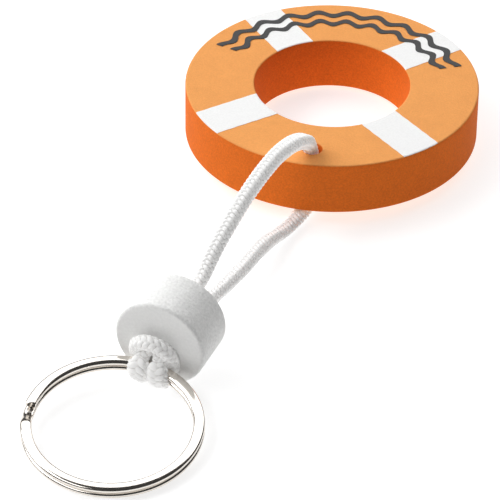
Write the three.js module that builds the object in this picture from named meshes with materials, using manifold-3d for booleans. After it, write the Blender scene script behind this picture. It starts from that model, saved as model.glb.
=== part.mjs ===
// Floating key ring shaped like a ring lifebuoy: a foam float, a looped braided cord through its rim,
// a foam bead on the doubled cord, and a steel split ring held by a cow hitch.
// Millimetres, +Z up. The key ring lies on z = 0, with the split ring towards -Y and the float towards +Y.

import * as THREE from "three";
import { mergeVertices } from "three/addons/utils/BufferGeometryUtils.js";
import Module from "manifold-3d";

const wasm = await Module();
wasm.setup();

// ---- Driving dimensions ----

// Float: one flat foam ring, lifted on the hole's side by the strand that runs under it.
const FLOAT_RADIUS = 30;
const FLOAT_INNER_RADIUS = 15.9;
const FLOAT_THICKNESS = 11.3;
const FLOAT_EDGE = 0.3;
const FLOAT_CENTRE = [0, 44.9]; // of the top face
const FLOAT_TILT = 2.9; // degrees
const FLOAT_TURN = 13.75; // degrees, which turns the cord hole from -Y towards +X
const CORD_HOLE_RADIUS = 2;
const CORD_HOLE_FROM_CENTRE = 24.2;

// Printing: four white bands, and a dark wave ornament of two ribbons round the far side.
const BAND_WIDTH = 8.5;
const BAND_ANGLES = [44, 129, 221, 316]; // degrees from the float's own +X
const INK_THICKNESS = 0.12;
const INK_GAP = 0.04;
const WAVE_RADII = { wave_print_outer: 26.1, wave_print_inner: 22.8 };
const WAVE_AMPLITUDE = 0.7;
const WAVE_WIDTH = 1.5;
const WAVE_COUNT = 10;
const WAVE_FROM = 24; // degrees
const WAVE_TO = 160; // degrees

// Split ring: flat wire in two turns, one on the other, with a joggle between them.
const RING_RADIUS = 17.15;
const WIRE_WIDTH = 2.2;
const WIRE_HEIGHT = 1.25;
const WIRE_SQUARENESS = 2.3; // exponent of the wire's oval section, 2 for an ellipse
const TURN_GAP = 0.06;
const RING_CENTRE = [-0.1, -57.9];
const RING_TILT = 5; // degrees, which lifts the hitched side
const RING_LEAN = 2.6; // degrees, which lifts the side towards -X
const LOWER_END = 209; // degrees, where the lower turn starts
const JOGGLE_FROM = 552; // degrees, counted on round the wire
const JOGGLE_TO = 567;
const UPPER_END = 908;

// Bead: a foam cylinder lying on its side.
const BEAD_RADIUS = 9.2;
const BEAD_LENGTH = 10.6;
const BEAD_EDGE = 0.8;
const BEAD_NEAR_FACE = [1.2, -40.4]; // x and y of its centre, on the split ring's side
const BORE_RADIUS = 3.1;

// Cord: 2.7 mm where it is slack, squeezed thinner where the hitch is drawn tight.
const CORD_DIAMETER = 2.7;
const HITCH_DIAMETER = 2.3;
const HITCH_X = 0.8;
const CORD_GAP = 0.3; // between the cord's own solids, end to end

// The loop: out of the bead, over the rim, down the hole, under the rim and back to the bead.
const LOOP_ROUTE = [
  [0.6, -31.6, 10.5], [0.6, -29.4, 10.5], [1.2, -26.4, 11],
  [1.9, -23, 12.4], [2.2, -19, 14.7], [2.5, -15.5, 16.6],
  [2.9, -11, 18.4], [3.2, -7.5, 19.7], [3.5, -4, 20.7],
  [3.8, -0.5, 21.4], [4.1, 3, 21.8], [4.4, 6.5, 21.9],
  [4.7, 10, 21.4], [5, 13.6, 20.4], [5.3, 17, 18.7],
  [5.5, 19.5, 16.6], [5.6, 20.9, 14.3], [5.7, 21.5, 11.6],
  [5.7, 21.5, 8.6], [5.8, 21.5, 6], [5.8, 21.2, 4],
  [5.8, 20.2, 2.23], [5.8, 18.7, 1.41], [5.7, 15.8, 1.43],
  [5.3, 12.5, 1.48], [4.9, 9.4, 2], [4.5, 6, 2.9],
  [4.2, 2.4, 3.7], [4, -1.3, 4.2], [3.9, -5, 4.5],
  [3.8, -8.8, 4.8], [3.6, -12.4, 5.3], [3.4, -16, 5.8],
  [3.1, -20.3, 6.5], [2.6, -24.5, 7.2], [2.1, -27.5, 7.7],
  [1.9, -29.4, 7.9], [1.9, -31.6, 7.9],
];

// One side of the cow hitch, mirrored for the other. x is measured from the hitch's middle.
const TURN_ROUTE = [
  [1.9, -42.6, 6.75], [1.95, -43.7, 6.35], [2, -44.4, 5.4], [2.05, -44.6, 4.3],
  [2.15, -44.5, 3.2], [2.3, -43.95, 2.1], [2.5, -42.95, 1.6],
];
const BIGHT_ROUTE = [
  [2.75, -41.8, 1.65], [3.3, -40.9, 1.85], [3.8, -40.2, 2.8], [4.05, -40.05, 4.3], [4.05, -40.4, 6.2],
  [3.8, -41.25, 8], [3.1, -41.9, 9.5], [1.75, -42.4, 10.6], [0, -42.55, 11],
];
const STANDING_ENDS = { left: LOOP_ROUTE.at(0), right: LOOP_ROUTE.at(-1) };
const STANDING_LEAD = 1.6; // runs straight on from the loop's end
const STANDING_ROUTE = [
  [1.25, -38.4, 9.1], [1.2, -40.1, 8.8], [1.35, -41, 8.05], [1.7, -41.8, 7.3],
];

// ---- Facets: sides of the round pieces, and steps along the bent ones ----

const SIDES = { floatOutside: 96, floatInside: 64, cordHole: 16, bead: 48, cord: 8, wire: 12 };
const STEPS = { loop: 72, bight: 32, standing: 14, turn: 12, wire: 112, wave: 12, edge: 2, bandEnd: 6 };
const BEAD_EDGE_POINTS = 4;

// ---- Materials ----

const finish = (color, roughness, metalness = 0) =>
  new THREE.MeshStandardMaterial({ color, roughness, metalness });
const orangeFoam = finish(0xf08a3c, 0.85);
const whiteInk = finish(0xf4f2ee, 0.7);
const darkInk = finish(0x383838, 0.65);
const whiteFoam = finish(0xdedddb, 0.9);
const whiteCord = finish(0xf1efee, 0.8);
const nickel = finish(0xd6cfc6, 0.15, 1);

// ---- Helpers ----

const radians = THREE.MathUtils.degToRad;

function mesh(name, geometry, material) {
  const made = new THREE.Mesh(geometry, material);
  made.name = name;
  return made;
}

function circle(radius, count, x = 0, y = 0) {
  const points = [];
  for (let i = 0; i < count; i++) {
    const a = (2 * Math.PI * i) / count;
    points.push(new THREE.Vector2(x + radius * Math.cos(a), y + radius * Math.sin(a)));
  }
  return points;
}

// A closed tube along a smooth curve through the points.
function tube(points, diameter, steps) {
  const corners = points.map((p) => new THREE.Vector3(...p));
  const route = new THREE.CatmullRomCurve3(corners, false, "centripetal");
  const section = new THREE.Shape(circle(diameter / 2, SIDES.cord));
  return new THREE.ExtrudeGeometry(section, { steps, extrudePath: route, bevelEnabled: false });
}

function toSolid(geometry) {
  const bare = new THREE.BufferGeometry().setAttribute("position", geometry.getAttribute("position"));
  if (geometry.index) bare.setIndex(geometry.index);
  const merged = mergeVertices(bare, 1e-4);
  return new wasm.Manifold(new wasm.Mesh({
    numProp: 3,
    vertProperties: new Float32Array(merged.attributes.position.array),
    triVerts: new Uint32Array(merged.index.array),
  }));
}

function toGeometry(solid) {
  const made = solid.getMesh();
  return new THREE.BufferGeometry()
    .setAttribute("position", new THREE.BufferAttribute(made.vertProperties, 3))
    .setIndex(new THREE.BufferAttribute(made.triVerts, 1));
}

// ---- Float and its printing, in the float's own frame: top face on z = 0, cord hole towards -Y ----

function floatGeometry() {
  const outline = new THREE.Shape(circle(FLOAT_RADIUS - FLOAT_EDGE, SIDES.floatOutside));
  const middle = circle(FLOAT_INNER_RADIUS + FLOAT_EDGE, SIDES.floatInside);
  const cordHole = circle(CORD_HOLE_RADIUS + FLOAT_EDGE, SIDES.cordHole, 0, -CORD_HOLE_FROM_CENTRE);
  outline.holes.push(new THREE.Path(middle), new THREE.Path(cordHole));
  const ring = new THREE.ExtrudeGeometry(outline, {
    depth: FLOAT_THICKNESS - 2 * FLOAT_EDGE,
    bevelSize: FLOAT_EDGE,
    bevelThickness: FLOAT_EDGE,
    bevelSegments: STEPS.edge,
  });
  return ring.translate(0, 0, FLOAT_EDGE - FLOAT_THICKNESS);
}

// A parallel-sided strip across the ring, ending on its outer and inner edges.
function bandGeometry(degrees) {
  const outer = FLOAT_RADIUS - FLOAT_EDGE;
  const inner = FLOAT_INNER_RADIUS + FLOAT_EDGE;
  const outerHalf = Math.asin(BAND_WIDTH / 2 / outer);
  const innerHalf = Math.asin(BAND_WIDTH / 2 / inner);
  const strip = new THREE.Shape();
  strip.absarc(0, 0, outer, -outerHalf, outerHalf, false);
  strip.absarc(0, 0, inner, innerHalf, -innerHalf, true);
  const ink = new THREE.ExtrudeGeometry(strip, {
    depth: INK_THICKNESS,
    bevelEnabled: false,
    curveSegments: STEPS.bandEnd,
  });
  return ink.rotateZ(radians(degrees)).translate(0, 0, INK_GAP);
}

// A ribbon that weaves in and out about a circle, with its ends cut square.
function waveGeometry(radius) {
  const steps = WAVE_COUNT * STEPS.wave;
  const edge = (side) => {
    const points = [];
    for (let i = 0; i <= steps; i++) {
      const along = i / steps;
      const angle = radians(WAVE_FROM + along * (WAVE_TO - WAVE_FROM));
      const middle = radius + WAVE_AMPLITUDE * Math.cos(2 * Math.PI * WAVE_COUNT * along);
      const r = middle + (side * WAVE_WIDTH) / 2;
      points.push(new THREE.Vector2(r * Math.cos(angle), r * Math.sin(angle)));
    }
    return points;
  };
  const ribbon = new THREE.Shape([...edge(1), ...edge(-1).reverse()]);
  const ink = new THREE.ExtrudeGeometry(ribbon, { depth: INK_THICKNESS, bevelEnabled: false });
  return ink.translate(0, 0, 2 * INK_GAP + INK_THICKNESS);
}

function floatGroup() {
  const group = new THREE.Group();
  const tilt = radians(FLOAT_TILT);
  group.rotation.set(-tilt, 0, radians(FLOAT_TURN), "ZYX");
  const height = FLOAT_RADIUS * Math.sin(tilt) + FLOAT_THICKNESS * Math.cos(tilt);
  group.position.set(...FLOAT_CENTRE, height);
  group.add(mesh("lifebuoy_float", floatGeometry(), orangeFoam));
  BAND_ANGLES.forEach((angle, i) => {
    group.add(mesh(`white_band_${i + 1}`, bandGeometry(angle), whiteInk));
  });
  for (const [name, radius] of Object.entries(WAVE_RADII)) {
    group.add(mesh(name, waveGeometry(radius), darkInk));
  }
  return group;
}

// ---- Split ring, in its own frame: centre on the origin, underside on z = 0 ----

class SplitRingCurve extends THREE.Curve {
  getPoint(t, target = new THREE.Vector3()) {
    const degrees = THREE.MathUtils.lerp(LOWER_END, UPPER_END, t);
    const rise = THREE.MathUtils.smoothstep(degrees, JOGGLE_FROM, JOGGLE_TO);
    const radius = RING_RADIUS - WIRE_WIDTH / 2;
    const angle = radians(degrees);
    const height = WIRE_HEIGHT / 2 + rise * (WIRE_HEIGHT + TURN_GAP);
    return target.set(radius * Math.cos(angle), radius * Math.sin(angle), height);
  }
}

function wireSection() {
  const bulge = (half, value) => half * Math.sign(value) * Math.abs(value) ** (2 / WIRE_SQUARENESS);
  const points = [];
  for (let i = 0; i < SIDES.wire; i++) {
    const a = (2 * Math.PI * i) / SIDES.wire;
    points.push(new THREE.Vector2(
      bulge(WIRE_HEIGHT / 2, Math.cos(a)),
      bulge(WIRE_WIDTH / 2, Math.sin(a)),
    ));
  }
  return new THREE.Shape(points);
}

function splitRingGroup() {
  const group = new THREE.Group();
  group.rotation.set(radians(RING_TILT), radians(RING_LEAN), 0, "YXZ");
  group.position.set(...RING_CENTRE, 0);
  const wire = new THREE.ExtrudeGeometry(wireSection(), {
    steps: STEPS.wire,
    extrudePath: new SplitRingCurve(),
    bevelEnabled: false,
  });
  group.add(mesh("split_ring", wire, nickel));
  const lowest = new THREE.Box3().setFromObject(group, true).min.z;
  group.position.z = -lowest;
  return group;
}

// ---- Cord ----

const mirrored = ([x, y, z], side) => [HITCH_X + side * x, y, z];

// A copy of the route with one end drawn back, so that it stops short of the next solid.
function shortened(route, end) {
  const points = route.map((p) => new THREE.Vector3(...p));
  const [tip, next] = end === "start" ? [points[0], points[1]] : [points.at(-1), points.at(-2)];
  tip.add(next.clone().sub(tip).setLength(CORD_GAP));
  return points.map((p) => p.toArray());
}

function bightRoute() {
  const right = BIGHT_ROUTE.map((p) => mirrored(p, 1));
  const left = BIGHT_ROUTE.map((p) => mirrored(p, -1)).reverse();
  return [...right, ...left.slice(1)];
}

function standingRoute(name, side) {
  const [x, y, z] = STANDING_ENDS[name];
  const start = [x, y - CORD_GAP, z];
  return [start, [x, y - STANDING_LEAD, z], ...STANDING_ROUTE.map((p) => mirrored(p, side))];
}

function cordMeshes() {
  const meshes = [
    mesh("cord_loop", tube(LOOP_ROUTE, CORD_DIAMETER, STEPS.loop), whiteCord),
    mesh("cord_bight", tube(bightRoute(), HITCH_DIAMETER, STEPS.bight), whiteCord),
  ];
  for (const [name, side] of [["left", -1], ["right", 1]]) {
    const standing = shortened(standingRoute(name, side), "end");
    const turn = shortened(TURN_ROUTE.map((p) => mirrored(p, side)), "end");
    meshes.push(mesh(`cord_standing_${name}`, tube(standing, HITCH_DIAMETER, STEPS.standing), whiteCord));
    meshes.push(mesh(`cord_turn_${name}`, tube(turn, HITCH_DIAMETER, STEPS.turn), whiteCord));
  }
  return meshes;
}

// ---- Bead: a turned cylinder with a bore, dented where the bight presses into its near face ----

function beadMesh() {
  const arc = (y, from) => Array.from({ length: BEAD_EDGE_POINTS }, (_, i) => {
    const a = from + (i * Math.PI) / 2 / (BEAD_EDGE_POINTS - 1);
    const r = BEAD_RADIUS - BEAD_EDGE;
    return new THREE.Vector2(r + BEAD_EDGE * Math.cos(a), y + BEAD_EDGE * Math.sin(a));
  });
  const profile = [
    new THREE.Vector2(BORE_RADIUS, 0),
    ...arc(BEAD_EDGE, -Math.PI / 2),
    ...arc(BEAD_LENGTH - BEAD_EDGE, 0),
    new THREE.Vector2(BORE_RADIUS, BEAD_LENGTH),
    new THREE.Vector2(BORE_RADIUS, 0),
  ];
  const [x, y] = BEAD_NEAR_FACE;
  const turned = new THREE.LatheGeometry(profile, SIDES.bead).translate(x, y, BEAD_RADIUS);
  const dent = tube(bightRoute(), HITCH_DIAMETER + CORD_GAP, STEPS.bight);
  return mesh("foam_bead", toGeometry(toSolid(turned).subtract(toSolid(dent))), whiteFoam);
}

const keyRing = new THREE.Group();
keyRing.add(floatGroup(), splitRingGroup(), beadMesh(), ...cordMeshes());

export default keyRing;
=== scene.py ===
import math

import bmesh
import bpy
import numpy as np
from mathutils import Matrix, Vector


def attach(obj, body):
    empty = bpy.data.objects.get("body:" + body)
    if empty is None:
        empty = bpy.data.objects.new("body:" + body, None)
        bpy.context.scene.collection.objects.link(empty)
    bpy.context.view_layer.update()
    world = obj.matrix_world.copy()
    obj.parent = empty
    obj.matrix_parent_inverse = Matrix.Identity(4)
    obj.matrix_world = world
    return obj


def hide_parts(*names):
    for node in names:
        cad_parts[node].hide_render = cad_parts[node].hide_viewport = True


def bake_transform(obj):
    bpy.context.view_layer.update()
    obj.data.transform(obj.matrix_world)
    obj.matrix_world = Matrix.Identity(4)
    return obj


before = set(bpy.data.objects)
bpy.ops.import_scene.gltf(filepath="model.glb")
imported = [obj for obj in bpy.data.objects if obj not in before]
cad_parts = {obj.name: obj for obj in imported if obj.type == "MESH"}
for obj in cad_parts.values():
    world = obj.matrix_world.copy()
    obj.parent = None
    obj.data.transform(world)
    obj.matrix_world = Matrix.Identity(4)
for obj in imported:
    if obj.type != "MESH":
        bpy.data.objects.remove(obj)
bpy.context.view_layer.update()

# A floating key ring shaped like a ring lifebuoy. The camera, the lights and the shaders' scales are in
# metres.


# ---- Driving dimensions, in millimetres and degrees ----

FLOAT_RADIUS = 30
FLOAT_INNER_RADIUS = 15.9
FLOAT_THICKNESS = 11.3
FLOAT_EDGE = 0.35  # radius of its edges
FLOAT_CENTRE = (0, 44.9)
FLOAT_TILT = 2.9  # lifts the side with the cord hole
FLOAT_TURN = 13.75
FLOAT_SEGMENTS = 288
CORD_HOLE_RADIUS = 2
CORD_HOLE_FLARE = 0.3
CORD_HOLE_FROM_CENTRE = 24.2

BAND_WIDTH = 8.5
BAND_ANGLES = (44, 129, 221, 316)
BAND_HEIGHTS = (0.02, 0.07)  # bottom and top above the foam
BAND_INSET = 0.1  # from the foam's outer and inner walls
BAND_WAVER = 0.03  # of the ink's long edges
WAVES = {"wave_ink_outer": (26.1, "wave_print_outer"), "wave_ink_inner": (22.8, "wave_print_inner")}
WAVE_AMPLITUDE = 0.7
WAVE_WIDTH = 1.5
WAVE_COUNT = 10
WAVE_FROM = 24  # degrees round the float
WAVE_TO = 160
WAVE_HEIGHTS = (0.09, 0.14)  # bottom and top above the foam, clear of the bands

RING_RADIUS = 17.15
WIRE_WIDTH = 2.2
WIRE_HEIGHT = 1.25
WIRE_SQUARENESS = 2.3  # exponent of the wire's oval section, 2 for an ellipse
WIRE_SIDES = 64
WIRE_STEPS = 1001
TURN_GAP = 0.06  # between the wire's two turns
RING_CENTRE = (-0.1, -57.9)
RING_TILT = 5  # lifts the hitched side
RING_LEAN = 2.6  # lifts the side towards -X
LOWER_END = 209  # the wire's ends and its joggle, in degrees along the wire
JOGGLE_FROM = 552
JOGGLE_TO = 567
UPPER_END = 908
END_TAPER = 0.12  # share that the wire's ends lose
END_TAPER_LENGTH = 1.2  # in degrees along the wire

BEAD_RADIUS = 9.2
BEAD_LENGTH = 10.6
BEAD_EDGE = 0.8
BEAD_SEGMENTS = 240
BEAD_NEAR_FACE = (1.2, -40.4)  # x of its axis and y of the face
BORE_RADIUS = 3.1
BORE_EDGE = 0.4
LIP_RADIUS = 1  # foam that closes round the strands at the near face
LIP_DEPTH = 1.2
DENT_CLEARANCE = 0.15  # round the cord that presses into the near face

CORD_DIAMETER = 2.7
HITCH_X = 0.4

# Out of the bead, over the rim, down through the float's hole and back under the rim.
LOOP_ROUTE = [
    (0.6, -31.6, 10.5), (0.6, -29.4, 10.5), (1.2, -26.4, 11),
    (1.9, -23, 12.4), (2.2, -19, 14.7), (2.5, -15.5, 16.6),
    (2.9, -11, 18.4), (3.2, -7.5, 19.7), (3.5, -4, 20.7),
    (3.8, -0.5, 21.4), (4.1, 3, 21.8), (4.4, 6.5, 21.9),
    (4.7, 10, 21.4), (5, 13.6, 20.4), (5.3, 17, 18.7),
    (5.5, 19.5, 16.6), (5.6, 20.9, 14.3), (5.7, 21.5, 11.6),
    (5.7, 21.5, 8.6), (5.8, 21.5, 6), (5.8, 21.2, 4),
    (5.8, 20.2, 2.15), (5.8, 18.7, 1.36), (5.7, 15.8, 1.36),
    (5.3, 12.5, 1.34), (4.9, 9.4, 1.6), (4.5, 6, 2.45),
    (4.2, 2.4, 3.45), (4, -1.3, 4.15), (3.9, -5, 4.5),
    (3.8, -8.8, 4.8), (3.6, -12.4, 5.3), (3.4, -16, 5.8),
    (3.1, -20.3, 6.5), (2.6, -24.5, 7.2), (2.1, -27.5, 7.7),
    (1.9, -29.4, 7.9), (1.9, -31.6, 7.9),
]

# One side of the cow hitch, mirrored for the other. x is measured from the hitch's middle.
STANDING_ROUTE = [(1.25, -38.4, 9.1), (1.2, -40.1, 8.8), (1.35, -41, 8.05), (1.7, -41.8, 7.3)]
TURN_ROUTE = [
    (1.85, -42.5, 6.5), (1.9, -43.4, 6.1), (1.95, -43.9, 5.3), (2, -44, 4.4),
    (2.1, -43.85, 3.5), (2.25, -43.35, 2.75), (2.5, -42.6, 2.35),
]
BIGHT_ROUTE = [
    (2.75, -41.7, 2.3), (3.1, -40.9, 2.5), (3.4, -40.35, 3.3), (3.5, -40.2, 4.5), (3.55, -40.5, 6.1),
    (3.5, -41.25, 7.8), (2.95, -41.8, 9.2), (1.7, -42.2, 10.3), (0, -42.35, 10.7),
]
CORD_GAP = 0.3  # between the loop's ends and the hitch's
STANDING_LEAD = 1.6

# How much the cord swells where it is slack, and flattens where it bends or is squeezed.
SLACK_SWELL = 0.19
RIM_FLATTENING = 0.1
UNDER_RIM_FLATTENING = 0.16
WIRE_FLATTENING = 0.5

# Braid: six thick strands, three wound each way, one over and one under.
STRANDS_EACH_WAY = 3
PLAIT_SPACING = 1.05
STRAND_CROWN = 0.42  # height of a strand's middle over its edges
STRAND_ROUNDNESS = 2.4  # exponent of that crown, 2 for an ellipse
STRAND_LIFT = 0.2  # rise and fall through the weave
YARN_RIDGE = 0.04  # height of the three yarns on each strand
STRAND_SHIFT = 3.7  # moves each strand to filaments of its own in the material's noise
BRAID_PROUD = 0.2  # of the highest plaits beyond the cord's radius
BRAID_SIDES = 80
BRAID_STEP = 0.09


# ---- Numbers and shapes ----

def mm(value):
    """Millimetres, as a number or a list of points, to metres."""
    return np.asarray(value, float) * 0.001


def smoothstep(low, high, x):
    t = np.clip((np.asarray(x, float) - low) / (high - low), 0, 1)
    return t * t * (3 - 2 * t)


def spline(points, per_span=24):
    """Points along a centripetal Catmull-Rom curve through the given ones."""
    p = np.asarray(points, float)
    p = np.vstack([2 * p[0] - p[1], p, 2 * p[-1] - p[-2]])
    out = []
    for a, b, c, d in zip(p[:-3], p[1:-2], p[2:-1], p[3:]):
        ta, tb, tc = (np.linalg.norm(v) ** 0.5 for v in (b - a, c - b, d - c))
        leave = ((b - a) / ta - (c - a) / (ta + tb) + (c - b) / tb) * tb
        arrive = ((c - b) / tb - (d - b) / (tb + tc) + (d - c) / tc) * tb
        t = np.linspace(0, 1, per_span, endpoint=False)[:, None]
        start = (2 * t**3 - 3 * t**2 + 1) * b + (t**3 - 2 * t**2 + t) * leave
        out.append(start + (3 * t**2 - 2 * t**3) * c + (t**3 - t**2) * arrive)
    return np.vstack([*out, p[-2:-1]])


def lengths(path):
    """How far along the path each of its points is."""
    steps = np.linalg.norm(np.diff(path, axis=0), axis=1)
    return np.concatenate([[0], np.cumsum(steps)])


def evenly(path, step):
    """The path with points one step apart."""
    along = lengths(path)
    count = max(2, round(along[-1] / step) + 1)
    wanted = np.linspace(0, along[-1], count)
    return np.stack([np.interp(wanted, along, path[:, k]) for k in range(3)], axis=1)


def carried_axes(path, first):
    """Two directions across the path at each point, carried along it without twist from the first one."""
    ahead = np.gradient(path, axis=0)
    ahead /= np.linalg.norm(ahead, axis=1)[:, None]
    side = np.empty_like(path)
    last = np.asarray(first, float)
    for i, t in enumerate(ahead):
        last = last - last.dot(t) * t
        last = last / np.linalg.norm(last)
        side[i] = last
    return side, np.cross(ahead, side)


def link(name, mesh, material, sharp_angle=40):
    """An object for the mesh, smooth except along edges sharper than the angle."""
    mesh.shade_smooth()
    mesh.set_sharp_from_angle(angle=math.radians(sharp_angle))
    mesh.materials.append(material)
    made = bpy.data.objects.new(name, mesh)
    bpy.context.scene.collection.objects.link(made)
    return made


def closed_mesh(name, points, faces):
    """A mesh with its faces turned outwards."""
    mesh = bpy.data.meshes.new(name)
    mesh.from_pydata(points.tolist(), [], faces)
    turned = bmesh.new()
    turned.from_mesh(mesh)
    bmesh.ops.recalc_face_normals(turned, faces=turned.faces)
    turned.to_mesh(mesh)
    turned.free()
    return mesh


def tube_faces(rows, sides):
    """Quads between rows of points that go round a tube, and a flat face at each end."""
    index = np.arange(rows * sides).reshape(rows, sides)
    near, far = index[:-1], index[1:]
    quads = np.stack([near, np.roll(near, -1, 1), np.roll(far, -1, 1), far], axis=-1)
    return quads.reshape(-1, 4).tolist() + [index[0].tolist(), index[-1][::-1].tolist()]


def torus_faces(rows, sides):
    """Quads between rows of points that go round a tube, the last row joined to the first."""
    index = np.arange(rows * sides).reshape(rows, sides)
    far = np.roll(index, -1, 0)
    quads = np.stack([index, np.roll(index, -1, 1), np.roll(far, -1, 1), far], axis=-1)
    return quads.reshape(-1, 4).tolist()


def turned_about_z(profile, segments):
    """Rows of points made by turning a closed profile of (radius, z) about +Z."""
    angle = np.linspace(0, 2 * math.pi, segments, endpoint=False)[:, None]
    radius, height = np.asarray(profile, float).T
    flat = np.broadcast_to(height, (segments, len(height)))
    return np.stack([radius * np.cos(angle), radius * np.sin(angle), flat], axis=-1)


def arc(x, y, radius, start, end, count):
    """Points of an arc about (x, y), in degrees."""
    angle = np.radians(np.linspace(start, end, count))
    return np.stack([x + radius * np.cos(angle), y + radius * np.sin(angle)], axis=1)


def row(start, end, step):
    """Points of a straight line without its last one, about a step apart."""
    start, end = np.asarray(start, float), np.asarray(end, float)
    count = max(1, round(np.linalg.norm(end - start) / step))
    return start + (end - start) * np.linspace(0, 1, count, endpoint=False)[:, None]


# ---- Materials ----

FINE_GRAIN = 2600  # of the orange foam and the ink on it, in grains per metre
CORD_PAINTED_GLOW = 0.1  # painted glow: the cord gives off a little white light of its own, so it looks brighter than the light on it
CORD_CREASE_SHADE = 0.5  # painted shade: share of the cord's colour that is left between its strands, darkening the creases


class Nodes:
    """A material's node tree, written as short calls."""

    def __init__(self, name, color, roughness, **inputs):
        self.material = bpy.data.materials.new(name)
        self.material.use_nodes = True
        self.material.diffuse_color = (*color, 1)
        self.tree = self.material.node_tree
        self.shader = self.tree.nodes["Principled BSDF"]
        self.shader.inputs["Base Color"].default_value = (*color, 1)
        self.shader.inputs["Roughness"].default_value = roughness
        for key, value in inputs.items():
            self.shader.inputs[key.replace("_", " ")].default_value = value

    def join(self, output, target):
        self.tree.links.new(output, target)

    def add(self, kind, **values):
        made = self.tree.nodes.new(kind)
        for key, value in values.items():
            setattr(made, key, value)
        return made

    def place(self):
        """Object coordinates."""
        return self.add("ShaderNodeTexCoord").outputs["Object"]

    def attribute(self, name):
        return self.add("ShaderNodeAttribute", attribute_name=name).outputs["Fac"]

    def noise(self, where, scale, detail):
        made = self.add("ShaderNodeTexNoise")
        made.inputs["Scale"].default_value = scale
        made.inputs["Detail"].default_value = detail
        made.inputs["Roughness"].default_value = 0.6
        self.join(where, made.inputs["Vector"])
        return made.outputs["Fac"]

    def cells(self, where, scale):
        made = self.add("ShaderNodeTexVoronoi", feature="SMOOTH_F1")
        made.inputs["Scale"].default_value = scale
        made.inputs["Smoothness"].default_value = 0.6
        self.join(where, made.inputs["Vector"])
        return made.outputs["Distance"]

    def ramp(self, factor, stops):
        made = self.add("ShaderNodeValToRGB")
        band = made.color_ramp
        while len(band.elements) < len(stops):
            band.elements.new(0.5)
        for element, (position, color) in zip(band.elements, stops):
            element.position = position
            element.color = (*color, 1)
        self.join(factor, made.inputs["Fac"])
        return made.outputs["Color"]

    def math(self, operation, a, b):
        made = self.add("ShaderNodeMath", operation=operation)
        for socket, value in zip(made.inputs, (a, b)):
            if isinstance(value, (int, float)):
                socket.default_value = value
            else:
                self.join(value, socket)
        return made.outputs[0]

    def mix(self, factor, a, b, blend="MIX"):
        """Two colours mixed by a factor. Each of the three is a number or colour, or an output."""
        made = self.add("ShaderNodeMix", data_type="RGBA", blend_type=blend)
        color_a, color_b, result = made.inputs[6], made.inputs[7], made.outputs[2]
        for socket, value in ((made.inputs["Factor"], factor), (color_a, a), (color_b, b)):
            if isinstance(value, tuple):
                socket.default_value = (*value, 1)
            elif isinstance(value, (int, float)):
                socket.default_value = value
            else:
                self.join(value, socket)
        return result

    def color(self, output):
        self.join(output, self.shader.inputs["Base Color"])

    def roughness(self, output, low, high):
        spread = self.add("ShaderNodeMapRange")
        spread.inputs["To Min"].default_value = low
        spread.inputs["To Max"].default_value = high
        self.join(output, spread.inputs["Value"])
        self.join(spread.outputs["Result"], self.shader.inputs["Roughness"])

    def bump(self, *layers):
        """Bumps, each (height output, strength, depth in millimetres), one on another."""
        last = None
        for height, strength, depth in layers:
            made = self.add("ShaderNodeBump")
            made.inputs["Strength"].default_value = strength
            made.inputs["Distance"].default_value = depth * 0.001
            self.join(height, made.inputs["Height"])
            if last:
                self.join(last, made.inputs["Normal"])
            last = made.outputs["Normal"]
        self.join(last, self.shader.inputs["Normal"])


def shade(color, by):
    return tuple(c * by for c in color)


def orange_foam():
    """EVA foam: a pale skin above and below, paler partly as its own smoother skin and partly by painted
    sheen of the top light, and deeper, open-celled cut walls.
    """
    # the skin colour holds painted sheen: white from the top light's reflection is mixed into the orange,
    # on top of the skin's own lighter tone
    skin, cut = (0.88, 0.38, 0.115), (0.79, 0.165, 0.016)
    made = Nodes("orange_foam", skin, 0.8, Specular_IOR_Level=0.12)
    where = made.place()
    grain = made.noise(where, FINE_GRAIN, detail=4)
    patches = made.noise(where, FINE_GRAIN / 10, detail=3)
    cells = made.cells(where, scale=3300)
    skin_with_painted_sheen = made.ramp(grain, [(0.3, shade(skin, 0.94)), (0.7, shade(skin, 1.05))])
    deep = made.ramp(grain, [(0.3, shade(cut, 0.86)), (0.7, shade(cut, 1.12))])
    both = made.mix(made.attribute("skin"), deep, skin_with_painted_sheen)
    tint = made.ramp(patches, [(0.3, (0.95, 0.94, 0.93)), (0.7, (1, 1, 1))])
    made.color(made.mix(1, both, tint, blend="MULTIPLY"))
    made.roughness(grain, low=0.7, high=0.92)
    made.bump((grain, 0.35, 0.12), (cells, 0.4, 0.1))
    return made.material


def white_foam():
    """White foam with an open grain on its cut side and closed, smoother ends."""
    base = (0.91, 0.91, 0.90)
    made = Nodes("white_foam", base, 0.85, Specular_IOR_Level=0.3)
    where = made.place()
    grain = made.noise(where, scale=1900, detail=4)
    cells = made.cells(where, scale=2300)
    rough = made.ramp(grain, [(0.28, shade(base, 0.86)), (0.72, shade(base, 1.08))])
    smooth = made.ramp(grain, [(0.3, shade(base, 0.93)), (0.7, shade(base, 0.99))])
    made.color(made.mix(made.attribute("skin"), rough, smooth))
    made.roughness(grain, low=0.75, high=0.95)
    fade = made.math("SUBTRACT", 1, made.math("MULTIPLY", made.attribute("skin"), 0.7))
    deep = made.math("MULTIPLY", made.math("ADD", grain, cells), fade)
    made.bump((deep, 0.6, 0.16))
    return made.material


def ink(name, color, roughness):
    """A matt print that lets a little of the foam's grain through."""
    made = Nodes(name, color, roughness, Specular_IOR_Level=0.4)
    grain = made.noise(made.place(), FINE_GRAIN, detail=3)
    made.color(made.ramp(grain, [(0.3, shade(color, 0.95)), (0.7, shade(color, 1.03))]))
    made.roughness(grain, low=roughness - 0.08, high=min(1, roughness + 0.1))
    made.bump((grain, 0.25, 0.06))
    return made.material


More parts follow.
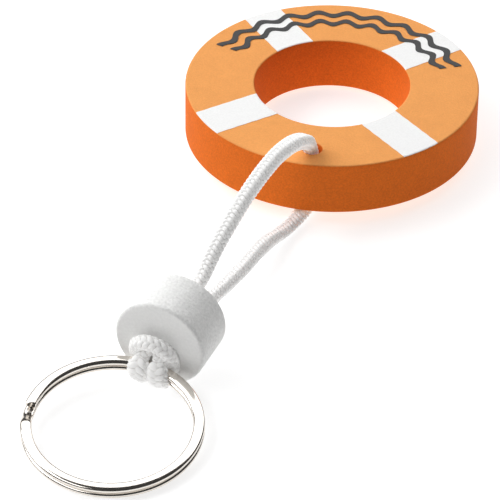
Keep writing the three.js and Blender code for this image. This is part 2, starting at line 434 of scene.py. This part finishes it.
def white_cord():
    """Braided polyester: fine filaments along each strand, painted shade in the creases, a soft sheen and
    a faint painted glow.
    """
    base = (0.95, 0.945, 0.935)
    made = Nodes("white_cord", base, 0.62, Specular_IOR_Level=0.45, Sheen_Weight=0.25, Sheen_Roughness=0.4)
    made.shader.inputs["Subsurface Weight"].default_value = 0.45
    made.shader.inputs["Subsurface Radius"].default_value = (1, 1, 1)
    made.shader.inputs["Subsurface Scale"].default_value = 0.0008
    # painted glow: a faint white emission brightens the cord
    made.shader.inputs["Emission Color"].default_value = (1, 0.99, 0.98, 1)
    made.shader.inputs["Emission Strength"].default_value = CORD_PAINTED_GLOW
    across, along = made.attribute("across"), made.attribute("along")
    flat = made.add("ShaderNodeCombineXYZ")
    made.join(made.math("MULTIPLY", across, 16), flat.inputs["X"])
    made.join(made.math("MULTIPLY", along, 1.6), flat.inputs["Y"])
    filaments = made.noise(flat.outputs["Vector"], scale=1, detail=3)
    threads = made.ramp(filaments, [(0.25, shade(base, 0.86)), (0.65, shade(base, 1.04))])
    # painted shade: the colour darkens towards the creases, where the crown attribute is low
    made.color(made.mix(made.attribute("crown"), shade(base, CORD_CREASE_SHADE), threads))
    made.bump((filaments, 0.5, 0.08))
    return made.material


def nickel():
    """Bright nickel plate with faint polishing lines along the wire."""
    base = (0.80, 0.755, 0.70)
    made = Nodes("nickel_plate", base, 0.12, Metallic=1)
    flat = made.add("ShaderNodeCombineXYZ")
    made.join(made.math("MULTIPLY", made.attribute("across"), 60), flat.inputs["X"])
    made.join(made.math("MULTIPLY", made.attribute("along"), 0.12), flat.inputs["Y"])
    lines = made.noise(flat.outputs["Vector"], scale=1, detail=2)
    waves = made.noise(made.place(), scale=420, detail=2)
    made.color(made.ramp(waves, [(0.3, shade(base, 0.94)), (0.7, shade(base, 1.03))]))
    made.roughness(lines, low=0.07, high=0.2)
    made.bump((waves, 0.15, 0.05), (lines, 0.12, 0.01))
    return made.material


# ---- Camera ----

CAMERA_PLACE = (0.2211, -0.4880, 0.4342)  # in metres
CAMERA_AZIMUTH = math.radians(24.2)
CAMERA_ELEVATION = math.radians(38.9)
CAMERA_LENS = 251.4  # in millimetres, like the sensor
SENSOR_WIDTH = 36


def add_camera():
    data = bpy.data.cameras.new("camera")
    data.lens = CAMERA_LENS
    data.sensor_width = SENSOR_WIDTH
    data.clip_start = 0.01
    data.clip_end = 20
    camera = bpy.data.objects.new("camera", data)
    bpy.context.scene.collection.objects.link(camera)
    flat = math.cos(CAMERA_ELEVATION)
    aside, towards = math.sin(CAMERA_AZIMUTH) * flat, -math.cos(CAMERA_AZIMUTH) * flat
    back = Vector((aside, towards, math.sin(CAMERA_ELEVATION)))
    camera.location = CAMERA_PLACE
    camera.rotation_euler = back.to_track_quat("Z", "Y").to_euler()
    bpy.context.scene.camera = camera


# ---- Cord ----

def store(mesh, name, values):
    """A number for each of the mesh's points, for its material."""
    attribute = mesh.attributes.new(name, "FLOAT", "POINT")
    attribute.data.foreach_set("value", np.asarray(values, np.float32).ravel())


def strand(angle, share):
    """Where a surface point lies across its strand, from -1 to 1, and which strand it is."""
    turns = angle / share
    number = np.round(turns)
    return 2 * (turns - number), number


def braid_mesh(name, path, swell, flatten, material):
    """A braided cord along a path in millimetres, swollen and flattened by factors along it.

    The attributes are for the material: where a point is across and along its strand, and how far
    it is up from the creases between the strands, where the material paints shade.
    """
    share = 2 * math.pi / STRANDS_EACH_WAY
    pitch = PLAIT_SPACING * STRANDS_EACH_WAY
    along = lengths(path)[:, None]
    around = np.linspace(0, 2 * math.pi, BRAID_SIDES, endpoint=False)[None, :]
    turn = 2 * math.pi * along / pitch
    over = np.cos(STRANDS_EACH_WAY * around)
    best = np.full((len(path), BRAID_SIDES), -1.0)
    across, lengthways = np.zeros(best.shape), np.zeros(best.shape)
    for way in (1, -1):
        u, number = strand(around - way * turn, share)
        crown = np.sqrt(np.clip(1 - np.abs(u) ** STRAND_ROUNDNESS, 0, 1))
        yarns = np.abs(np.cos(1.5 * math.pi * u))
        height = STRAND_CROWN * crown + STRAND_LIFT * way * over + YARN_RIDGE * yarns
        wins = height > best
        best = np.where(wins, height, best)
        across = np.where(wins, u + STRAND_SHIFT * number * way, across)
        lengthways = np.where(wins, along * 2 + way * around, lengthways)
    radius = CORD_DIAMETER / 2 + BRAID_PROUD - STRAND_CROWN - STRAND_LIFT - YARN_RIDGE + best
    side, up = carried_axes(path, (1, 0, 0))
    wide, thin = ((swell * f)[:, None, None] for f in (flatten, 1 / flatten))
    x = (radius * np.cos(around))[..., None] * side[:, None, :] * wide
    y = (radius * np.sin(around))[..., None] * up[:, None, :] * thin
    points = (path[:, None, :] + x + y).reshape(-1, 3)
    mesh = closed_mesh(name, mm(points), tube_faces(len(path), BRAID_SIDES))
    store(mesh, "across", across)
    store(mesh, "along", lengthways)
    # crown: how far up from the creases, for the painted shade there
    store(mesh, "crown", smoothstep(0.3 * STRAND_CROWN, 1.2 * STRAND_CROWN, best))
    return link(name, mesh, material, sharp_angle=80)


def mirrored(points, side):
    return [(HITCH_X + side * x, y, z) for x, y, z in points]


def hitch_route():
    """Out of the bore, round the wire, up the bead's face, over the arch and back the same way."""
    (left_x, y, left_z), (right_x, _, right_z) = LOOP_ROUTE[0], LOOP_ROUTE[-1]
    halves = {}
    for side, x, z in ((-1, left_x, left_z), (1, right_x, right_z)):
        bore = [(x, y - CORD_GAP, z), (x, y - STANDING_LEAD, z)]
        halves[side] = bore + mirrored(STANDING_ROUTE + TURN_ROUTE + BIGHT_ROUTE, side)
    return halves[-1] + halves[1][::-1][1:]


def loop_shape(loop):
    """How much the loop swells and flattens at each of its points.

    y runs from about -30 at the bead to 21.5 in the float's hole. z tells the upper strand from
    the lower one.
    """
    y, z = loop[:, 1], loop[:, 2]
    before_hole = 1 - smoothstep(18.6, 20.8, y)
    slack = smoothstep(-36, 4, y) * (1 - smoothstep(0, 7, y) * (z < 10))
    over_rim = smoothstep(5, 14, y) * smoothstep(8, 14, z)
    under_rim = smoothstep(4, 11, y) * (1 - smoothstep(3, 8, z))
    squeezed = RIM_FLATTENING * over_rim + UNDER_RIM_FLATTENING * under_rim
    return 1 + SLACK_SWELL * slack * before_hole, 1 + before_hole * squeezed


def add_loop(material):
    loop = evenly(spline(LOOP_ROUTE), BRAID_STEP)
    loop_piece = braid_mesh("braided_loop", loop, *loop_shape(loop), material)
    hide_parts("cord_loop")
    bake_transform(loop_piece)
    mm(lengths(loop)[-1]).item()
    mm(CORD_DIAMETER).item()


def add_hitch(material):
    """The hitch, and its path for the bead's dents."""
    hitch = evenly(spline(hitch_route()), BRAID_STEP)
    round_wire = smoothstep(-42.2, -43.8, hitch[:, 1])
    flatten = 1 + WIRE_FLATTENING * round_wire
    hitch_piece = braid_mesh("braided_hitch", hitch, np.ones(len(hitch)), flatten, material)
    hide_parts("cord_bight", "cord_standing_left", "cord_standing_right")
    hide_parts("cord_turn_left", "cord_turn_right")
    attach(hitch_piece, "cord_body")
    mm(lengths(hitch)[-1]).item()
    mm(CORD_DIAMETER).item()
    return hitch


# ---- Float and its printing, in the float's own frame: top face on z = 0, cord hole towards -Y ----

def float_place():
    tilt = math.radians(FLOAT_TILT)
    height = FLOAT_RADIUS * math.sin(tilt) + FLOAT_THICKNESS * math.cos(tilt)
    place = Matrix.Translation(mm((*FLOAT_CENTRE, height)))
    turn = Matrix.Rotation(math.radians(FLOAT_TURN), 4, "Z")
    return place @ turn @ Matrix.Rotation(-tilt, 4, "X")


def float_profile():
    """The ring's section as (radius, z), close together near the edges."""
    e, low = FLOAT_EDGE, -FLOAT_THICKNESS
    outer, inner = FLOAT_RADIUS, FLOAT_INNER_RADIUS
    near_edge, face_step, wall_step = 0.25, 0.7, 0.6
    return np.vstack([
        row((inner + e + near_edge, 0), (outer - e - near_edge, 0), face_step),
        row((outer - e - near_edge, 0), (outer - e, 0), near_edge),
        arc(outer - e, -e, e, 90, 0, 7)[:-1],
        row((outer, -e), (outer, low + e), wall_step),
        arc(outer - e, low + e, e, 0, -90, 7)[:-1],
        row((outer - e, low), (outer - e - near_edge, low), near_edge),
        row((outer - e - near_edge, low), (inner + e + near_edge, low), face_step),
        row((inner + e + near_edge, low), (inner + e, low), near_edge),
        arc(inner + e, low + e, e, 270, 180, 7)[:-1],
        row((inner, low + e), (inner, -e), wall_step),
        arc(inner + e, -e, e, 180, 90, 7)[:-1],
        row((inner + e, 0), (inner + e + near_edge, 0), near_edge),
    ])


def hole_cutter():
    """A pin with flared ends, which leaves the hole's mouths rounded."""
    f, low, r = CORD_HOLE_FLARE, -FLOAT_THICKNESS, CORD_HOLE_RADIUS
    past_face, near_axis = 0.5, 0.001
    profile = np.vstack([
        [(near_axis, past_face), (r + f, past_face)],
        arc(r + f, -f, f, 90, 180, 7),
        arc(r + f, low + f, f, 180, 270, 7),
        [(r + f, low - past_face), (near_axis, low - past_face)],
    ])
    rows = turned_about_z(profile, 64) + np.array((0, -CORD_HOLE_FROM_CENTRE, 0))
    mesh = closed_mesh("hole_cutter", mm(rows.reshape(-1, 3)), torus_faces(*rows.shape[:2]))
    return link("hole_cutter", mesh, bpy.data.materials[0])


def subtract(target, cutter):
    """The target with the cutter's shape taken out, as a plain mesh."""
    cut = target.modifiers.new("cut", "BOOLEAN")
    cut.operation = "DIFFERENCE"
    cut.solver = "EXACT"
    cut.object = cutter
    graph = bpy.context.evaluated_depsgraph_get()
    mesh = bpy.data.meshes.new_from_object(target.evaluated_get(graph))
    target.modifiers.remove(cut)
    target.data = mesh
    bpy.data.objects.remove(cutter)


def coordinates(mesh):
    """The mesh's points, in metres."""
    points = np.empty(len(mesh.vertices) * 3, np.float32)
    mesh.vertices.foreach_get("co", points)
    return points.reshape(-1, 3).astype(float)


def add_float(material):
    rows = turned_about_z(float_profile(), FLOAT_SEGMENTS)
    mesh = closed_mesh("float_foam", mm(rows.reshape(-1, 3)), torus_faces(*rows.shape[:2]))
    made = link("float_foam", mesh, material)
    subtract(made, hole_cutter())
    mesh = made.data
    z = coordinates(mesh)[:, 2] * 1000
    off_face = np.minimum(np.abs(z), np.abs(z + FLOAT_THICKNESS))
    # skin marks the flat faces, which the orange foam colours paler, partly with painted sheen
    store(mesh, "skin", 1 - smoothstep(0.02, FLOAT_EDGE * 0.8, off_face))
    mesh.shade_smooth()
    mesh.set_sharp_from_angle(angle=math.radians(50))
    mesh.transform(float_place())
    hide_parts("lifebuoy_float")
    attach(made, "float_body")


def skin_height(radius):
    """The height of the foam's top skin, which drops at its rounded edges."""
    outside = np.maximum(radius - (FLOAT_RADIUS - FLOAT_EDGE), FLOAT_INNER_RADIUS + FLOAT_EDGE - radius)
    over = np.clip(outside, 0, FLOAT_EDGE)
    return np.sqrt(FLOAT_EDGE**2 - over**2) - FLOAT_EDGE


def layer_mesh(name, flat, heights, material):
    """A thin closed layer over a grid of flat (x, y) points, which follows the skin under it."""
    rows, columns = flat.shape[:2]
    base = skin_height(np.linalg.norm(flat, axis=-1))
    bottom, top = (np.dstack([flat, base + h]).reshape(-1, 3) for h in heights)
    index = np.arange(rows * columns).reshape(rows, columns)
    corners = [index[:-1, :-1], index[1:, :-1], index[1:, 1:], index[:-1, 1:]]
    quads = np.stack(corners, axis=-1).reshape(-1, 4)
    rim = np.concatenate([index[0, :-1], index[:-1, -1], index[-1, :0:-1], index[:0:-1, 0]])
    sides = np.stack([rim, np.roll(rim, -1), np.roll(rim, -1) + len(top), rim + len(top)], axis=-1)
    faces = quads.tolist() + (quads + len(top)).tolist() + sides.tolist()
    mesh = closed_mesh(name, mm(np.vstack([bottom, top])), faces)
    made = link(name, mesh, material)
    mesh.transform(float_place())
    return made


def add_bands(material):
    across = np.linspace(-BAND_WIDTH / 2, BAND_WIDTH / 2, 25)[None, :]
    outer = np.sqrt((FLOAT_RADIUS - BAND_INSET) ** 2 - across**2)
    inner = np.sqrt((FLOAT_INNER_RADIUS + BAND_INSET) ** 2 - across**2)
    share = smoothstep(0, 1, np.linspace(0, 1, 49))[:, None]
    out = inner + share * (outer - inner)
    at_edge = np.sign(across) * (np.abs(across) > BAND_WIDTH * 0.49)
    for number, degrees in enumerate(BAND_ANGLES, 1):
        side = across + BAND_WAVER * np.sin(out * 2.1 + number) * at_edge
        turn = math.radians(degrees)
        x = out * math.cos(turn) - side * math.sin(turn)
        y = out * math.sin(turn) + side * math.cos(turn)
        made = layer_mesh(f"band_ink_{number}", np.dstack([x, y]), BAND_HEIGHTS, material)
        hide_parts(f"white_band_{number}")
        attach(made, "float_body")


def add_waves(material):
    steps_per_wave = 40
    along = np.linspace(0, 1, WAVE_COUNT * steps_per_wave + 1)[:, None]
    angle = np.radians(WAVE_FROM + along * (WAVE_TO - WAVE_FROM))
    swing = WAVE_AMPLITUDE * np.cos(2 * math.pi * WAVE_COUNT * along)
    width = np.linspace(-WAVE_WIDTH / 2, WAVE_WIDTH / 2, 7)[None, :]
    for name, (radius, node) in WAVES.items():
        r = radius + swing + width
        flat = np.dstack([r * np.cos(angle), r * np.sin(angle)])
        made = layer_mesh(name, flat, WAVE_HEIGHTS, material)
        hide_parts(node)
        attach(made, "float_body")


# ---- Bead ----

def bead_profile():
    """The bead's section as (radius, distance from the near face), with a lip that closes on the cord."""
    r, e, b, c, far = BEAD_RADIUS, BEAD_EDGE, BORE_RADIUS, BORE_EDGE, BEAD_LENGTH
    fine_step, step = 0.22, 0.5
    return np.vstack([
        row((LIP_RADIUS, 0), (r - e, 0), fine_step),
        arc(r - e, e, e, -90, 0, 9)[:-1],
        row((r, e), (r, far - e), step),
        arc(r - e, far - e, e, 0, 90, 9)[:-1],
        row((r - e, far), (b + c, far), step),
        arc(b + c, far - c, c, 90, 180, 5)[:-1],
        row((b, far - c), (b, LIP_DEPTH), step),
        row((b, LIP_DEPTH), (LIP_RADIUS, LIP_DEPTH), step),
        row((LIP_RADIUS, LIP_DEPTH), (LIP_RADIUS, 0), step),
    ])


def pressed_in(points, path, clearance):
    """The near face's points, pushed into the bead by the cord that lies against it, outside the bore."""
    pushed = points.copy()
    near = points[:, 1] < BEAD_NEAR_FACE[1] + BEAD_EDGE * 2
    for x, y, z in path[::4]:
        if y > BEAD_NEAR_FACE[1] + BEAD_EDGE:
            continue
        gap = np.hypot(pushed[:, 0] - x, pushed[:, 2] - z)
        depth = y + np.sqrt(np.clip(clearance**2 - gap**2, 0, None))
        hit = near & (gap < clearance)
        pushed[:, 1] = np.where(hit, np.maximum(pushed[:, 1], depth), pushed[:, 1])
    return pushed


def add_bead(material, hitch):
    """The bead, which lies on the floor with its axis along Y."""
    rows = turned_about_z(bead_profile(), BEAD_SEGMENTS)
    x, y = BEAD_NEAR_FACE
    lying = [rows[..., 0] + x, rows[..., 2] + y, rows[..., 1] + BEAD_RADIUS]
    points = np.stack(lying, axis=-1).reshape(-1, 3)
    from_axis = np.hypot(points[:, 0] - x, points[:, 2] - BEAD_RADIUS)
    points = pressed_in(points, hitch, CORD_DIAMETER / 2 + DENT_CLEARANCE)
    mesh = closed_mesh("bead_foam", mm(points), torus_faces(*rows.shape[:2]))
    store(mesh, "skin", 1 - smoothstep(BEAD_RADIUS - BEAD_EDGE, BEAD_RADIUS - 0.1, from_axis))
    made = link("bead_foam", mesh, material, sharp_angle=60)
    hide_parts("foam_bead")
    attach(made, "bead_body")


# ---- Split ring ----

def wire_section():
    """The wire's oval section as (outwards, up) from its middle."""
    angle = np.linspace(0, 2 * math.pi, WIRE_SIDES, endpoint=False)
    across, up = np.cos(angle), np.sin(angle)
    power = 2 / WIRE_SQUARENESS
    x = WIRE_WIDTH / 2 * np.sign(across) * np.abs(across) ** power
    z = WIRE_HEIGHT / 2 * np.sign(up) * np.abs(up) ** power
    return np.stack([x, z], axis=1)


def add_split_ring(material):
    """Two turns of one wire, tilted and leaning, with the lowest point on the floor."""
    section = wire_section()
    outwards, upwards = section[None, :, 0], section[None, :, 1]
    degrees = np.linspace(LOWER_END, UPPER_END, WIRE_STEPS)[:, None]
    rise = smoothstep(JOGGLE_FROM, JOGGLE_TO, degrees)
    height = WIRE_HEIGHT / 2 + rise * (WIRE_HEIGHT + TURN_GAP)
    from_end = np.minimum(degrees - LOWER_END, UPPER_END - degrees)
    taper = 1 - END_TAPER * (1 - smoothstep(0, END_TAPER_LENGTH, from_end))
    radius = RING_RADIUS - WIRE_WIDTH / 2 + outwards * taper
    angle = np.radians(degrees)
    x, y, z = radius * np.cos(angle), radius * np.sin(angle), height + upwards * taper
    rows = np.stack([x, y, z], axis=-1)
    mesh = closed_mesh("polished_split_ring", mm(rows.reshape(-1, 3)), tube_faces(*rows.shape[:2]))
    store(mesh, "across", np.broadcast_to(outwards + upwards, rows.shape[:2]))
    store(mesh, "along", np.broadcast_to(RING_RADIUS * angle, rows.shape[:2]))
    made = link("polished_split_ring", mesh, material, sharp_angle=35)
    lean = Matrix.Rotation(math.radians(RING_LEAN), 4, "Y")
    mesh.transform(lean @ Matrix.Rotation(math.radians(RING_TILT), 4, "X"))
    lowest = coordinates(mesh)[:, 2].min()
    mesh.transform(Matrix.Translation(Vector((*mm(RING_CENTRE), -lowest))))
    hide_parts("split_ring")
    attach(made, "ring_body")


# ---- Studio ----

# Place, width and height in metres, and power in watts. Each light faces the middle of the key ring.
SOFTBOXES = {
    "back_softbox": ((-0.29, 0.64, 0.84), (2, 1.1), 13),
    "left_softbox": ((-0.95, -0.2, 0.85), (0.9, 0.9), 10),
    "front_softbox": ((-0.5, -0.8, 1.1), (0.8, 0.5), 3),
}
SKY_STRENGTH = 0.05
FLOOR_GREY = 0.5
FLOOR_GLOW = 0.7  # keeps the floor near white, with only faint shadows
FLOOR_HALF_SIDE = 4  # in metres
FLOOR_DROP = 0.00002  # below the key ring, in metres


def add_softbox(name, place, size, power):
    data = bpy.data.lights.new(name, "AREA")
    data.shape = "RECTANGLE"
    data.size, data.size_y = size
    data.energy = power
    light = bpy.data.objects.new(name, data)
    bpy.context.scene.collection.objects.link(light)
    light.location = place
    light.rotation_euler = Vector(place).to_track_quat("Z", "Y").to_euler()


def add_floor():
    made = Nodes("pale_floor", (FLOOR_GREY, FLOOR_GREY, FLOOR_GREY), 0.9, Specular_IOR_Level=0.1)
    made.shader.inputs["Emission Color"].default_value = (1, 1, 1, 1)
    made.shader.inputs["Emission Strength"].default_value = FLOOR_GLOW
    half = FLOOR_HALF_SIDE
    corners = [(-half, -half, 0), (half, -half, 0), (half, half, 0), (-half, half, 0)]
    mesh = bpy.data.meshes.new("floor")
    mesh.from_pydata(corners, [], [(0, 1, 2, 3)])
    floor = link("floor", mesh, made.material)
    floor.location.z = -FLOOR_DROP


def add_studio():
    scene = bpy.context.scene
    scene.view_settings.view_transform = "Standard"
    world = bpy.data.worlds.new("studio")
    scene.world = world
    world.use_nodes = True
    sky = world.node_tree.nodes["Background"]
    sky.inputs["Color"].default_value = (1, 1, 1, 1)
    sky.inputs["Strength"].default_value = SKY_STRENGTH
    for name, (place, size, power) in SOFTBOXES.items():
        add_softbox(name, place, size, power)
    add_floor()


# ---- Everything, camera and cord first ----

add_camera()
cord_finish = white_cord()
add_loop(cord_finish)
hitch_path = add_hitch(cord_finish)
add_float(orange_foam())
add_bands(ink("white_ink", (0.90, 0.90, 0.895), 0.6))
add_waves(ink("dark_ink", (0.042, 0.042, 0.043), 0.55))
add_bead(white_foam(), hitch_path)
add_split_ring(nickel())
add_studio()
